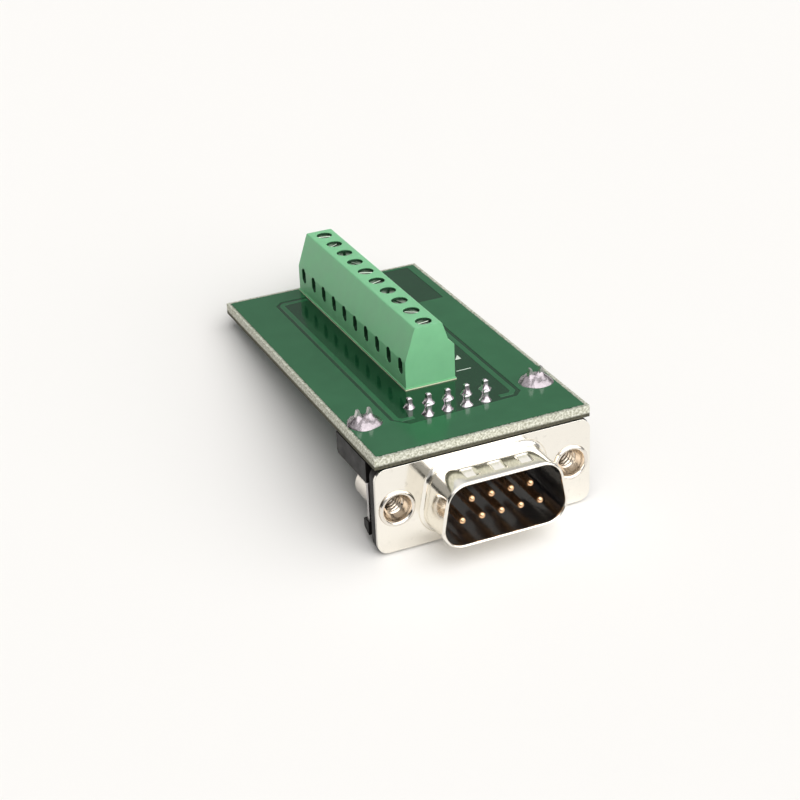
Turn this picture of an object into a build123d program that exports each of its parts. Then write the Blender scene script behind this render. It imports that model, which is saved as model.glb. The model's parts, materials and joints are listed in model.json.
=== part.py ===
from build123d import *
import os
from math import cos, radians, tan

os.makedirs("parts", exist_ok=True)

# Adapter board: a nine-way plug under one end of a circuit board, and a ten-way screw terminal block on top.
# X runs across the board, Y back along it and Z up out of its top. Sizes are in millimetres.
# The origin is on the plug's axis, midway between its jack screws, at the flange's front face.

# Circuit board
board_thickness = 1.6
board_side_inset = 0.1
board_behind_block = 0.85
board_seat_gap = 0.1

# Running and seating clearances, and the sides of a bore that a round pin or screw passes
seat_gap = 0.02
slide_gap = 0.1
turn_gap = 0.08
bore_sides = 8

# Plug shell, drawn from sheet
sheet = 0.5
flange_beyond_jack = 2.905
flange_beyond_shell = 1.52
flange_drop = 0.1
flange_corner = 1.6
shell_mouth_width = 16.92
shell_mouth_height = 8.36
shell_mouth_corner = 2.6
shell_wall = 0.45
shell_depth = 5.9
shell_lean = 10
shell_root = 0.5
lip_bevel = 0.2
dimple_count = 3
dimple_pitch = 3.9
dimple_width = 1.9
dimple_length = 2.3
dimple_depth = 0.3
dimple_draft = 25
dimple_setback = 3.4

# Jack screw inserts
jack_from_mouth = 4.035
insert_bore = 1.42
insert_neck = 1.95
insert_mouth = 2.05
insert_lip = 2.55
insert_lip_rise = 0.35
insert_barrel = 2.3
insert_barrel_length = 4.8

# Plastic bracket behind the flange
bracket_plate = 2.3
bracket_leg_width = 5.7
bracket_length = 9.5
bracket_clear = 0.1
barrel_clear = 0.1
bracket_leg_bevel = 0.4
bracket_foot_bevel = 1.1
bracket_foot_height = 1.1
ledge_top = -2.75
ledge_height = 1.2
ledge_depth = 1.4
organiser_thickness = 1.2

# Insulators
insulator_rim_lap = 1.03
insulator_rim_corner = 1.5
insulator_rim = 0.7
insulator_recess = 0.35
insulator_tail_inset = 0.37
insulator_tail_length = 3.7

# Contact pins
pin_pitch = 2.77
row_spacing = 2.84
pin_radius = 0.51
pin_reach = 4.77
pin_nose_length = 0.5
pin_nose_inset = 0.3
collar_width = 1.5
collar_thickness = 0.5
tail_thickness = 0.64
tail_bend = 0.8
tail_rise = 1.4
tail_nose = 0.12
front_tail_row = 7.9
tail_row_spacing = 2.84
lower_count = 5
upper_count = 4

# Board locks
lock_sheet = 0.6
lock_plate_width = 5.4
lock_arm_width = 3.0
lock_hole_setback = 9.6
prong_width = 0.9
prong_spacing = 1.6
prong_rise = 2.0
prong_point = 0.3

# Terminal block housing
pole_count = 10
pole_pitch = 3.81
block_front = 15.3
block_pole_lead = 1.65
block_pole_tail = 1.91
block_height = 8.75
block_left = -3.9
block_right = 3.35
wall_left_height = 4.0
top_left = -2.32
top_right = 1.63
neck_right = 2.5
neck_height = 6.05
shoulder_height = 5.25
foot_lip = 0.15
foot_lip_height = 0.25
top_round = 0.25
screw_x = -0.3
screw_hole_radius = 1.15
screw_hole_sides = 16
screw_recess = 1.0
entry_width = 1.5
entry_height = 2.3
entry_corner = 0.45

# Rising clamps: a fixed bar through a cage that the screw lifts
bar_thickness = 0.45
bar_width = 1.8
bar_underside = 3.75
bar_front = 1.6
strip_back = 2.05
wire_gap = 1.55
grip_left = 0.25
cage_sheet = 0.45
cage_side = 0.3
cage_length = 2.9
cage_top = 0.6
cage_foot_gap = 0.1
screw_radius = 1.05
screw_slot_width = 0.35
screw_slot_depth = 0.45
tail_width = 0.9
tail_below = 2.3
tail_taper = 0.25
tail_x = -0.4

# Board holes and solder
pin_hole_radius = 0.55
terminal_hole_radius = 0.75
lock_hole_radius = 1.6
joint_sides = 8
joint_radius = 0.85
joint_height = 0.95
joint_draft = 17
lock_joint_sides = 16
lock_joint_radius = 2.55
lock_joint_foot = 0.45
lock_joint_height = 0.9
lock_foot_draft = 50
lock_neck_draft = 60
terminal_joint_radius = 1.15
terminal_joint_foot = 0.45
terminal_joint_height = 1.2

# Places worked out from the sizes above
shell_width = shell_mouth_width + 2 * shell_wall
shell_height = shell_mouth_height + 2 * shell_wall
shell_corner = shell_mouth_corner + shell_wall
flange_height = shell_height + 2 * flange_beyond_shell
flange_foot = -flange_drop - flange_height / 2
board_underside = flange_height / 2 - flange_drop + board_seat_gap
board_top = board_underside + board_thickness
jack_x = shell_mouth_width / 2 + jack_from_mouth
flange_width = 2 * (jack_x + flange_beyond_jack)
board_width = flange_width - 2 * board_side_inset
insulator_rim_width = shell_mouth_width + 2 * insulator_rim_lap
insulator_rim_height = shell_mouth_height + 2 * insulator_rim_lap
insulator_tail_width = shell_mouth_width - 2 * insulator_tail_inset
insulator_tail_height = shell_mouth_height - 2 * insulator_tail_inset
bracket_front = sheet
bracket_back = bracket_front + bracket_plate
lock_back = bracket_back + lock_sheet
insulator_split = bracket_front + insulator_rim
rear_rim_back = insulator_split + insulator_rim
insulator_back = rear_rim_back + insulator_tail_length
leg_top = board_underside - bracket_clear
leg_underside = insert_barrel + barrel_clear + lock_sheet
bracket_leg_height = leg_top - leg_underside
leg_back = bracket_back + bracket_length
leg_middle = flange_width / 2 - bracket_leg_width / 2
back_tail_row = front_tail_row + tail_row_spacing
pin_tail_top = board_top + tail_rise
pin_places = [
    ((n - (lower_count - 1) / 2) * pin_pitch, -row_spacing / 2, back_tail_row) for n in range(lower_count)
] + [((n - (upper_count - 1) / 2) * pin_pitch, row_spacing / 2, front_tail_row) for n in range(upper_count)]
pin_rows = [(x, row) for x, row, tail_row in pin_places]
tail_places = [(x, tail_row) for x, row, tail_row in pin_places]
poles = [block_front + block_pole_lead + n * pole_pitch for n in range(pole_count)]
block_length = poles[-1] + block_pole_tail - block_front
board_length = block_front + block_length + board_behind_block
terminal_places = [(screw_x + tail_x, y) for y in poles]
bar_top = bar_underside + bar_thickness
cage_window_width = 2 * (screw_radius + turn_gap)
cage_width = cage_window_width + 2 * cage_side
cage_window_floor = bar_underside - wire_gap
cage_foot = cage_window_floor - cage_sheet
cage_travel = wire_gap - grip_left
cage_ceiling = bar_top + slide_gap / 2
cage_crown = cage_ceiling + cage_top
pocket_top = cage_crown + cage_travel + turn_gap
pocket_front = screw_x - bar_front - slide_gap
low_pocket_back = screw_x + strip_back + slide_gap
high_pocket_back = screw_x + cage_length / 2 + slide_gap
pocket_width = cage_width + 2 * slide_gap
strip_foot_top = cage_foot - cage_foot_gap
entry_centre = (cage_window_floor + bar_underside) / 2


def front_plane(setback):
    """Upright plane that faces the front, this far behind the flange's front face."""
    return Plane.XZ.offset(-setback)


def d_face(plane, width, height, corner):
    """D-shaped face, this wide over its rounded lower corners, with sides that lean in by shell_lean."""
    lean = tan(radians(shell_lean))
    half = width / 2 + corner * (lean + 1 / cos(radians(shell_lean)) - 1)
    with BuildSketch(plane) as outline:
        with BuildLine():
            Polyline(
                (-half, -height / 2),
                (half, -height / 2),
                (half - height * lean, height / 2),
                (height * lean - half, height / 2),
                close=True,
            )
        make_face()
        fillet(outline.vertices(), corner)
    return outline.sketch


def save(builder, name):
    """Labels a finished piece and writes it under that name."""
    builder.part.label = name
    export_step(builder.part, f"parts/{name}.step")


# Circuit board
with BuildPart() as circuit_board:
    with BuildSketch(Plane.XY.offset(board_underside)):
        with Locations((0, board_length / 2)):
            Rectangle(board_width, board_length)
        with Locations(*tail_places):
            RegularPolygon(pin_hole_radius, joint_sides, mode=Mode.SUBTRACT)
        with Locations(*terminal_places):
            RegularPolygon(terminal_hole_radius, joint_sides, mode=Mode.SUBTRACT)
        with Locations((-jack_x, lock_hole_setback), (jack_x, lock_hole_setback)):
            Circle(lock_hole_radius, mode=Mode.SUBTRACT)
    extrude(amount=board_thickness)
save(circuit_board, "circuit_board")

# Plug shell: a flange and a D-shaped nose drawn from one sheet
with BuildPart() as front_shell:
    with BuildSketch(front_plane(sheet)):
        with Locations((0, -flange_drop)):
            RectangleRounded(flange_width, flange_height, flange_corner)
    extrude(amount=sheet)
    extrude(d_face(front_plane(0), shell_width, shell_height, shell_corner), amount=shell_depth)
    flat_faces = front_shell.faces().filter_by(Axis.Y).sort_by(Axis.Y)
    chamfer(flat_faces[1].inner_wires()[0].edges(), shell_root)
    chamfer(front_shell.faces().filter_by(Axis.Y).sort_by(Axis.Y)[0].outer_wire().edges(), lip_bevel)
    mouth = d_face(front_plane(sheet), shell_mouth_width, shell_mouth_height, shell_mouth_corner)
    extrude(mouth, amount=shell_depth + sheet, mode=Mode.SUBTRACT)
    outer_middle = (0, -dimple_setback, shell_height / 2)
    with BuildSketch(Plane(origin=outer_middle).offset(-shell_wall)):
        with GridLocations(dimple_pitch, 0, dimple_count, 1):
            Rectangle(dimple_width, dimple_length)
    extrude(amount=-dimple_depth, taper=dimple_draft)
    with BuildSketch(Plane(origin=outer_middle)):
        with GridLocations(dimple_pitch, 0, dimple_count, 1):
            Rectangle(dimple_width, dimple_length)
    extrude(amount=-dimple_depth, taper=dimple_draft, mode=Mode.SUBTRACT)
    with BuildSketch(front_plane(sheet)):
        with Locations((-jack_x, 0), (jack_x, 0)):
            Circle(insert_neck + seat_gap)
    extrude(amount=sheet, mode=Mode.SUBTRACT)
save(front_shell, "front_shell")

# Front insulator: fills the shell's root, with a rim clamped behind the flange
with BuildPart() as front_insulator:
    plug_width = shell_mouth_width - 2 * seat_gap
    plug_height = shell_mouth_height - 2 * seat_gap
    plug = d_face(front_plane(sheet), plug_width, plug_height, shell_mouth_corner)
    extrude(plug, amount=sheet - insulator_recess)
    with BuildSketch(front_plane(insulator_split)):
        RectangleRounded(insulator_rim_width, insulator_rim_height, insulator_rim_corner)
    extrude(amount=insulator_rim)
    with BuildSketch(front_plane(insulator_split)):
        with Locations(*pin_rows):
            RegularPolygon(pin_radius + seat_gap, bore_sides, major_radius=False)
    extrude(amount=insulator_split, mode=Mode.SUBTRACT)
    with BuildSketch(front_plane(insulator_split)):
        with Locations(*pin_rows):
            Rectangle(collar_width + 2 * seat_gap, collar_width + 2 * seat_gap)
    extrude(amount=collar_thickness / 2 + seat_gap, mode=Mode.SUBTRACT)
save(front_insulator, "front_insulator")

# Rear insulator: traps the pins' collars and guides their tails
with BuildPart() as rear_insulator:
    with BuildSketch(front_plane(rear_rim_back)):
        RectangleRounded(insulator_rim_width, insulator_rim_height, insulator_rim_corner)
    extrude(amount=insulator_rim)
    tail_block = d_face(
        front_plane(rear_rim_back), insulator_tail_width, insulator_tail_height, shell_mouth_corner
    )
    extrude(tail_block, amount=-insulator_tail_length)
    with BuildSketch(front_plane(insulator_split)):
        with Locations(*pin_rows):
            Rectangle(collar_width + 2 * seat_gap, collar_width + 2 * seat_gap)
    extrude(amount=-collar_thickness / 2 - seat_gap, mode=Mode.SUBTRACT)
    with BuildSketch(front_plane(insulator_split)):
        with Locations(*pin_rows):
            Rectangle(tail_thickness + 2 * seat_gap, tail_thickness + 2 * seat_gap)
    extrude(amount=insulator_split - insulator_back, mode=Mode.SUBTRACT)
save(rear_insulator, "rear_insulator")

# Bracket: plate behind the flange, legs under the board and a comb that holds the pins' tails in line
with BuildPart() as mounting_bracket:
    with BuildSketch(front_plane(bracket_back)) as plate_outline:
        with Locations((0, (leg_top + flange_foot) / 2)):
            Rectangle(flange_width, leg_top - flange_foot)
        fillet(plate_outline.vertices().group_by(Axis.Z)[0], flange_corner)
    extrude(amount=bracket_plate)
    foot_edges = mounting_bracket.faces().sort_by(Axis.Y)[-1].edges().filter_by(Axis.X).group_by(Axis.Z)[0]
    chamfer(foot_edges, bracket_foot_height, bracket_foot_bevel)
    for side in (-1, 1):
        with BuildSketch(Plane.YZ.offset(side * leg_middle)) as leg_outline:
            with BuildLine():
                Polyline(
                    (bracket_back, leg_top),
                    (leg_back, leg_top),
                    (leg_back, leg_underside + bracket_leg_bevel),
                    (leg_back - bracket_leg_bevel, leg_underside),
                    (bracket_back, leg_underside),
                    close=True,
                )
            make_face()
            with BuildLine():
                Polyline(
                    (bracket_back, ledge_top),
                    (bracket_back + ledge_depth, ledge_top),
                    (bracket_back + ledge_depth, ledge_top - ledge_height),
                    (bracket_back, ledge_top - ledge_height - ledge_depth / 2),
                    close=True,
                )
            make_face()
        extrude(amount=bracket_leg_width / 2, both=True)
    with BuildSketch(Plane.XY.offset(leg_top)):
        with Locations((0, (bracket_back + leg_back) / 2)):
            Rectangle(flange_width - 2 * bracket_leg_width, leg_back - bracket_back)
    extrude(amount=-organiser_thickness)
    with BuildSketch(Plane.XY.offset(leg_top)):
        with Locations(*tail_places):
            Rectangle(tail_thickness + 2 * seat_gap, tail_thickness + 2 * seat_gap)
    extrude(amount=-organiser_thickness, mode=Mode.SUBTRACT)
    with BuildSketch(front_plane(rear_rim_back)):
        RectangleRounded(
            insulator_rim_width + 2 * seat_gap, insulator_rim_height + 2 * seat_gap, insulator_rim_corner
        )
    extrude(amount=rear_rim_back - bracket_front, mode=Mode.SUBTRACT)
    tail_window = d_face(
        front_plane(bracket_back),
        insulator_tail_width + 2 * seat_gap,
        insulator_tail_height + 2 * seat_gap,
        shell_mouth_corner,
    )
    extrude(tail_window, amount=bracket_plate, mode=Mode.SUBTRACT)
    with BuildSketch(front_plane(bracket_back)):
        with Locations((-jack_x, 0), (jack_x, 0)):
            Circle(insert_neck + seat_gap)
    extrude(amount=bracket_plate, mode=Mode.SUBTRACT)
    with BuildSketch(Plane.XY.offset(leg_top)):
        with Locations((-jack_x, lock_hole_setback), (jack_x, lock_hole_setback)):
            Rectangle(prong_spacing + prong_width + 2 * slide_gap, lock_sheet + 2 * slide_gap)
    extrude(amount=-bracket_leg_height, mode=Mode.SUBTRACT)
save(mounting_bracket, "mounting_bracket")


def threaded_insert(x):
    """Tubular insert: a neck through flange and bracket, flared over the flange, and a long rear barrel."""
    barrel_back = lock_back + insert_barrel_length
    with BuildPart() as insert:
        with BuildSketch(Plane(origin=(x, 0, 0))):
            with BuildLine():
                Polyline(
                    (insert_bore, 0),
                    (insert_mouth, -insert_lip_rise),
                    (insert_lip, -insert_lip_rise),
                    (insert_lip, 0),
                    (insert_neck, 0),
                    (insert_neck, lock_back),
                    (insert_barrel, lock_back),
                    (insert_barrel, barrel_back),
                    (insert_bore, barrel_back),
                    close=True,
                )
            make_face()
        revolve(axis=Axis((x, 0, 0), (0, 1, 0)))
    return insert


def board_lock(x):
    """Bent strip behind the bracket, with an arm under its leg and two prongs up through the board."""
    arm_back = lock_hole_setback + lock_sheet / 2
    with BuildPart() as lock:
        with BuildSketch(front_plane(lock_back)):
            with Locations((x, (leg_underside + ledge_top) / 2)):
                Rectangle(lock_plate_width, leg_underside - ledge_top)
        extrude(amount=lock_sheet)
        with BuildSketch(Plane.XY.offset(leg_underside)):
            with Locations((x, (bracket_back + arm_back) / 2)):
                Rectangle(lock_arm_width, arm_back - bracket_back)
        extrude(amount=-lock_sheet)
        with BuildSketch(front_plane(arm_back)):
            for side in (-1, 1):
                middle = x + side * prong_spacing / 2
                with BuildLine():
                    Polyline(
                        (middle - prong_width / 2, leg_underside - lock_sheet / 2),
                        (middle + prong_width / 2, leg_underside - lock_sheet / 2),
                        (middle + prong_width / 2, board_top + lock_joint_height),
                        (middle + prong_point / 2, board_top + prong_rise),
                        (middle - prong_point / 2, board_top + prong_rise),
                        (middle - prong_width / 2, board_top + lock_joint_height),
                        close=True,
                    )
                make_face()
        extrude(amount=lock_sheet)
        with BuildSketch(front_plane(lock_back)):
            with Locations((x, 0)):
                Circle(insert_neck + seat_gap)
        extrude(amount=lock_sheet, mode=Mode.SUBTRACT)
    return lock


def lock_joint(x):
    """Big solder joint on the board's top, which fills the lock's hole round its two prongs."""
    with BuildPart() as joint:
        with BuildSketch(Plane.XY.offset(board_underside)):
            with Locations((x, lock_hole_setback)):
                Circle(lock_hole_radius - seat_gap)
        extrude(amount=board_thickness)
        with BuildSketch(Plane.XY.offset(board_top)):
            with Locations((x, lock_hole_setback)):
                RegularPolygon(lock_joint_radius, lock_joint_sides)
        extrude(amount=lock_joint_foot, taper=lock_foot_draft)
        foot_top = joint.faces().sort_by(Axis.Z)[-1]
        extrude(foot_top, amount=lock_joint_height - lock_joint_foot, taper=lock_neck_draft)
        with BuildSketch(Plane.XY.offset(board_underside)):
            with Locations(*[(x + side * prong_spacing / 2, lock_hole_setback) for side in (-1, 1)]):
                Rectangle(prong_width + 2 * seat_gap, lock_sheet + 2 * seat_gap)
        extrude(amount=board_thickness + lock_joint_height, mode=Mode.SUBTRACT)
    return joint


# Pieces that come in a left and right pair
for side_name, side_x in (("left", -jack_x), ("right", jack_x)):
    save(threaded_insert(side_x), f"threaded_insert_{side_name}")
    save(board_lock(side_x), f"board_lock_{side_name}")
    save(lock_joint(side_x), f"lock_solder_{side_name}")


def contact_pin(x, row, tail_row):
    """Round pin with a tapered nose and a square collar, whose square tail turns up through the board."""
    with BuildPart() as pin:
        with BuildSketch(front_plane(insulator_split)):
            with Locations((x, row)):
                Circle(pin_radius)
        extrude(amount=insulator_split + pin_reach)
        nose_edge = pin.edges().sort_by(Axis.Y)[0]
        chamfer(nose_edge, pin_nose_length, pin_nose_inset, reference=pin.faces().sort_by(Axis.Y)[1])
        with BuildSketch(front_plane(insulator_split + collar_thickness / 2)):
            with Locations((x, row)):
                Rectangle(collar_width, collar_width)
        extrude(amount=collar_thickness)
        with BuildLine() as tail_path:
            FilletPolyline(
                (x, insulator_split, row),
                (x, tail_row, row),
                (x, tail_row, pin_tail_top),
                radius=tail_bend,
            )
        with BuildSketch(Plane(origin=(x, insulator_split, row), x_dir=(1, 0, 0), z_dir=(0, 1, 0))):
            Rectangle(tail_thickness, tail_thickness)
        sweep(path=tail_path.line)
        chamfer(pin.faces().sort_by(Axis.Z)[-1].edges(), tail_nose)
    return pin


for number, pin_place in enumerate(pin_places, start=1):
    save(contact_pin(*pin_place), f"contact_pin_{number}")

# Solder round each pin's tail: a fill in its hole and a cone on the board's top
with BuildPart() as pin_solder_joints:
    with BuildSketch(Plane.XY.offset(board_underside)):
        with Locations(*tail_places):
            RegularPolygon(pin_hole_radius - seat_gap, joint_sides)
    extrude(amount=board_thickness)
    with BuildSketch(Plane.XY.offset(board_top)):
        with Locations(*tail_places):
            RegularPolygon(joint_radius, joint_sides)
    extrude(amount=joint_height, taper=joint_draft)
    with BuildSketch(Plane.XY.offset(board_underside)):
        with Locations(*tail_places):
            Rectangle(tail_thickness + 2 * seat_gap, tail_thickness + 2 * seat_gap)
    extrude(amount=board_thickness + joint_height, mode=Mode.SUBTRACT)
save(pin_solder_joints, "pin_solder_joints")

# Terminal block housing, with a pocket, a screw hole and a wire entry for each pole
with BuildPart() as terminal_housing:
    with BuildSketch(front_plane(block_front)) as housing_section:
        with BuildLine():
            Polyline(
                (block_left, board_top),
                (block_left, board_top + wall_left_height),
                (top_left, board_top + block_height),
                (top_right, board_top + block_height),
                (neck_right, board_top + neck_height),
                (block_right, board_top + shoulder_height),
                (block_right, board_top),
                close=True,
            )
        make_face()
        fillet(housing_section.vertices().group_by(Axis.Z)[-1], top_round)
    extrude(amount=-block_length)
    with BuildSketch(Plane.XY.offset(board_top)):
        with Locations(((block_left + block_right) / 2, block_front + block_length / 2)):
            Rectangle(block_right - block_left + 2 * foot_lip, block_length + 2 * foot_lip)
    extrude(amount=foot_lip_height)
    with BuildSketch(Plane.XY.offset(board_top)):
        with Locations(*[((pocket_front + low_pocket_back) / 2, y) for y in poles]):
            Rectangle(low_pocket_back - pocket_front, pocket_width)
    extrude(amount=bar_top + slide_gap, mode=Mode.SUBTRACT)
    with BuildSketch(Plane.XY.offset(board_top + bar_top)):
        with Locations(*[((pocket_front + high_pocket_back) / 2, y) for y in poles]):
            Rectangle(high_pocket_back - pocket_front, pocket_width)
    extrude(amount=pocket_top - bar_top, mode=Mode.SUBTRACT)
    with BuildSketch(Plane.XY.offset(board_top + pocket_top)):
        with Locations(*[(screw_x, y) for y in poles]):
            RegularPolygon(screw_hole_radius, screw_hole_sides)
    extrude(amount=block_height - pocket_top, mode=Mode.SUBTRACT)
    with BuildSketch(Plane.YZ.offset(pocket_front)) as entries:
        with Locations(*[(y, board_top + entry_centre) for y in poles]):
            Rectangle(entry_width, entry_height)
        chamfer(entries.vertices(), entry_corner)
    extrude(amount=block_left - pocket_front, mode=Mode.SUBTRACT)
save(terminal_housing, "terminal_housing")


def terminal_pin(y):
    """Strip bent to a C: a bar through the cage, a back, a foot under it and a tail through the board."""
    back = screw_x + strip_back
    foot_front = screw_x + tail_x - bar_thickness / 2
    with BuildPart() as strip:
        with BuildSketch(front_plane(y + bar_width / 2)):
            with BuildLine():
                Polyline(
                    (screw_x - bar_front, board_top + bar_top),
                    (back, board_top + bar_top),
                    (back, board_top + strip_foot_top - bar_thickness),
                    (foot_front, board_top + strip_foot_top - bar_thickness),
                    (foot_front, board_top + strip_foot_top),
                    (back - bar_thickness, board_top + strip_foot_top),
                    (back - bar_thickness, board_top + bar_underside),
                    (screw_x - bar_front, board_top + bar_underside),
                    close=True,
                )
            make_face()
        extrude(amount=bar_width)
        with BuildSketch(Plane.XY.offset(board_top + strip_foot_top)):
            with Locations((screw_x + tail_x, y)):
                Rectangle(bar_thickness, tail_width)
        extrude(amount=-(strip_foot_top + board_thickness + tail_below))
        tail_tip = strip.faces().sort_by(Axis.Z)[0]
        chamfer(tail_tip.edges().filter_by(Axis.X), tail_taper)
    return strip


def clamp_cage(y):
    """Folded cage round the bar: its floor lifts the wire, and its top is the screw's nut."""
    middle = board_top + (cage_foot + cage_crown) / 2
    window = board_top + (cage_window_floor + cage_ceiling) / 2
    with BuildPart() as cage:
        with BuildSketch(Plane.YZ.offset(screw_x - cage_length / 2)):
            with Locations((y, middle)):
                Rectangle(cage_width, cage_crown - cage_foot)
            with Locations((y, window)):
                Rectangle(cage_window_width, cage_ceiling - cage_window_floor, mode=Mode.SUBTRACT)
        extrude(amount=cage_length)
        with BuildSketch(Plane.XY.offset(board_top + cage_ceiling)):
            with Locations((screw_x, y)):
                RegularPolygon(screw_radius + turn_gap, bore_sides, major_radius=False)
        extrude(amount=cage_top, mode=Mode.SUBTRACT)
    return cage


def clamp_screw(y):
    """Slotted screw whose tip turns on the bar, while its thread lifts the cage."""
    tip = board_top + bar_top + seat_gap
    top = board_top + block_height - screw_recess
    with BuildPart() as screw:
        with BuildSketch(Plane.XY.offset(tip)):
            with Locations((screw_x, y)):
                Circle(screw_radius)
        extrude(amount=top - tip)
        with BuildSketch(Plane.XY.offset(top)):
            with Locations((screw_x, y)):
                Rectangle(2 * screw_radius, screw_slot_width)
        extrude(amount=-screw_slot_depth, mode=Mode.SUBTRACT)
    return screw


for number, pole in enumerate(poles, start=1):
    save(clamp_screw(pole), f"clamp_screw_{number:02d}")
    save(clamp_cage(pole), f"clamp_cage_{number:02d}")
    save(terminal_pin(pole), f"terminal_pin_{number:02d}")

# Solder under the board, round each terminal's flat tail
with BuildPart() as terminal_solder_joints:
    with BuildSketch(Plane.XY.offset(board_top)):
        with Locations(*terminal_places):
            RegularPolygon(terminal_hole_radius - seat_gap, joint_sides)
    extrude(amount=-board_thickness)
    with BuildSketch(Plane.XY.offset(board_underside)):
        with Locations(*terminal_places):
            RegularPolygon(terminal_joint_radius, joint_sides)
    extrude(amount=-terminal_joint_foot)
    with BuildSketch(Plane.XY.offset(board_underside)):
        with Locations(*terminal_places):
            RegularPolygon(terminal_hole_radius, joint_sides)
    extrude(amount=-terminal_joint_height)
    with BuildSketch(Plane.XY.offset(board_top)):
        with Locations(*terminal_places):
            Rectangle(bar_thickness + 2 * seat_gap, tail_width + 2 * seat_gap)
    extrude(amount=-board_thickness - terminal_joint_height, mode=Mode.SUBTRACT)
save(terminal_solder_joints, "terminal_solder_joints")
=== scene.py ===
"""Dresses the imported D-sub terminal block adapter: skins, solder, copper, finishes, light and camera."""
import json
import logging
import math
from dataclasses import dataclass, field
from enum import Enum

import bmesh
import bpy
import numpy as np
from mathutils import Matrix, Vector
from mathutils.geometry import delaunay_2d_cdt

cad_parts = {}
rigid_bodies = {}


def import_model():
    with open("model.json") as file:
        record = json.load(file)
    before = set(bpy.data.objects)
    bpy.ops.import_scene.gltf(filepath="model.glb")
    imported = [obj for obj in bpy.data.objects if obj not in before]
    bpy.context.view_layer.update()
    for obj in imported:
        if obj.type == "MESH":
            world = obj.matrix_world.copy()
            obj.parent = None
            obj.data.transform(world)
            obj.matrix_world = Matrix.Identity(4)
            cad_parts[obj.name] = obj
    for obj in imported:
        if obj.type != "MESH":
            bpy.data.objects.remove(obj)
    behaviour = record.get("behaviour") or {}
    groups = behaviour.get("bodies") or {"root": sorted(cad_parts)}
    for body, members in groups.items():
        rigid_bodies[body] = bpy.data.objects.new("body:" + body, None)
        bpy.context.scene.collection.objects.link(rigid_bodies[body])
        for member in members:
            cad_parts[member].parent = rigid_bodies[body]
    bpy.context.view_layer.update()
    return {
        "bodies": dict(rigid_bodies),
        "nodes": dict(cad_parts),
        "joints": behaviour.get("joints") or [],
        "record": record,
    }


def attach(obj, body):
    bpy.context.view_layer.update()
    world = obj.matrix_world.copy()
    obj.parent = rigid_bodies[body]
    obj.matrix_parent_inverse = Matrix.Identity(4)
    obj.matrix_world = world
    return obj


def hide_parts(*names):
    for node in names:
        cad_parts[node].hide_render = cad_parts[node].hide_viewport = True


log = logging.getLogger("adapter")

Colour = tuple[float, float, float, float]
Tree = bpy.types.NodeTree
Socket = bpy.types.NodeSocket
Overlays = list[tuple[Socket, Colour | Socket]]
Pair = tuple[float, float]
Level = float | np.ndarray

MM = 0.001
BODY = "adapter"

# Sizes shared with the solids, in millimetres
BOARD_WIDTH, BOARD_LENGTH, BOARD_MIDDLE_Y = 30.6, 54.0, 27.0
BOARD_UNDERSIDE, BOARD_TOP = 6.15, 7.75
JACK_X = 12.495
LOCK_Y = 9.6
PIN_PITCH = 2.77
# How far back each row of pin tails lies, and how many it has
TAIL_ROWS = ((7.9, 4), (10.74, 5))
POLE_PITCH = 3.81
POLES = tuple(16.95 + POLE_PITCH * n for n in range(10))
TERMINAL_X = -0.7
SCREW_X, SCREW_TOP = -0.3, 15.5
# Boxes round a screw well and a wire entry, where shade is painted: half along Y, then middle and half along
# X and along Z
SHADED_WELLS = ((1.2, (SCREW_X, 1.2), (14.2, 2.22)), (0.78, (-0.78, 3.05), (9.8, 1.9)))
COPPER = 0.035
INK = 0.02

# Kinds of shader node used often, and the settings of a mix of colours and of numbers
MATH, RANGE, MIX = "ShaderNodeMath", "ShaderNodeMapRange", "ShaderNodeMix"
COLOURS, NUMBERS = {"data_type": "RGBA"}, {"data_type": "FLOAT"}


class Side(Enum):
    """Face of the board, as the way its outward normal points along Z."""
    TOP = 1
    UNDERSIDE = -1

    @property
    def height(self) -> float:
        """Height of the bare face in millimetres."""
        return BOARD_TOP if self is Side.TOP else BOARD_UNDERSIDE


class Hand(Enum):
    """Half of the plug, as the sign of its X."""
    LEFT = -1
    RIGHT = 1

    @property
    def label(self) -> str:
        """Word that ends the names of pieces on this half."""
        return self.name.lower()


def srgb(code: str) -> Colour:
    """Turns a hex colour such as #1f5c3a into linear RGBA."""
    channels = [int(code[i:i + 2], 16) / 255 for i in (1, 3, 5)]
    return (*[c / 12.92 if c <= 0.04045 else ((c + 0.055) / 1.055) ** 2.4 for c in channels], 1.0)


def add_node(tree: Tree, kind: str, settings: dict | None = None,
             inputs: dict | None = None) -> bpy.types.NodeOutputs:
    """Adds one node to a tree.

    Args:
        tree: the node tree that gets it.
        kind: Blender's name of the node type.
        settings: the node's own properties.
        inputs: values for its sockets, or other nodes' output sockets to link, by socket name or number.

    Returns:
        The new node's output sockets.
    """
    node = tree.nodes.new(kind)
    for key, value in (settings or {}).items():
        setattr(node, key, value)
    for key, value in (inputs or {}).items():
        if isinstance(value, bpy.types.NodeSocket):
            tree.links.new(value, node.inputs[key])
        else:
            node.inputs[key].default_value = value
    return node.outputs


@dataclass(frozen=True)
class Skin:
    """What a finish's nodes read: their tree, the Object coordinates with their parts, and the patches."""
    tree: Tree
    place: Socket
    x: Socket
    y: Socket
    z: Socket
    mottle: Socket


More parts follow.
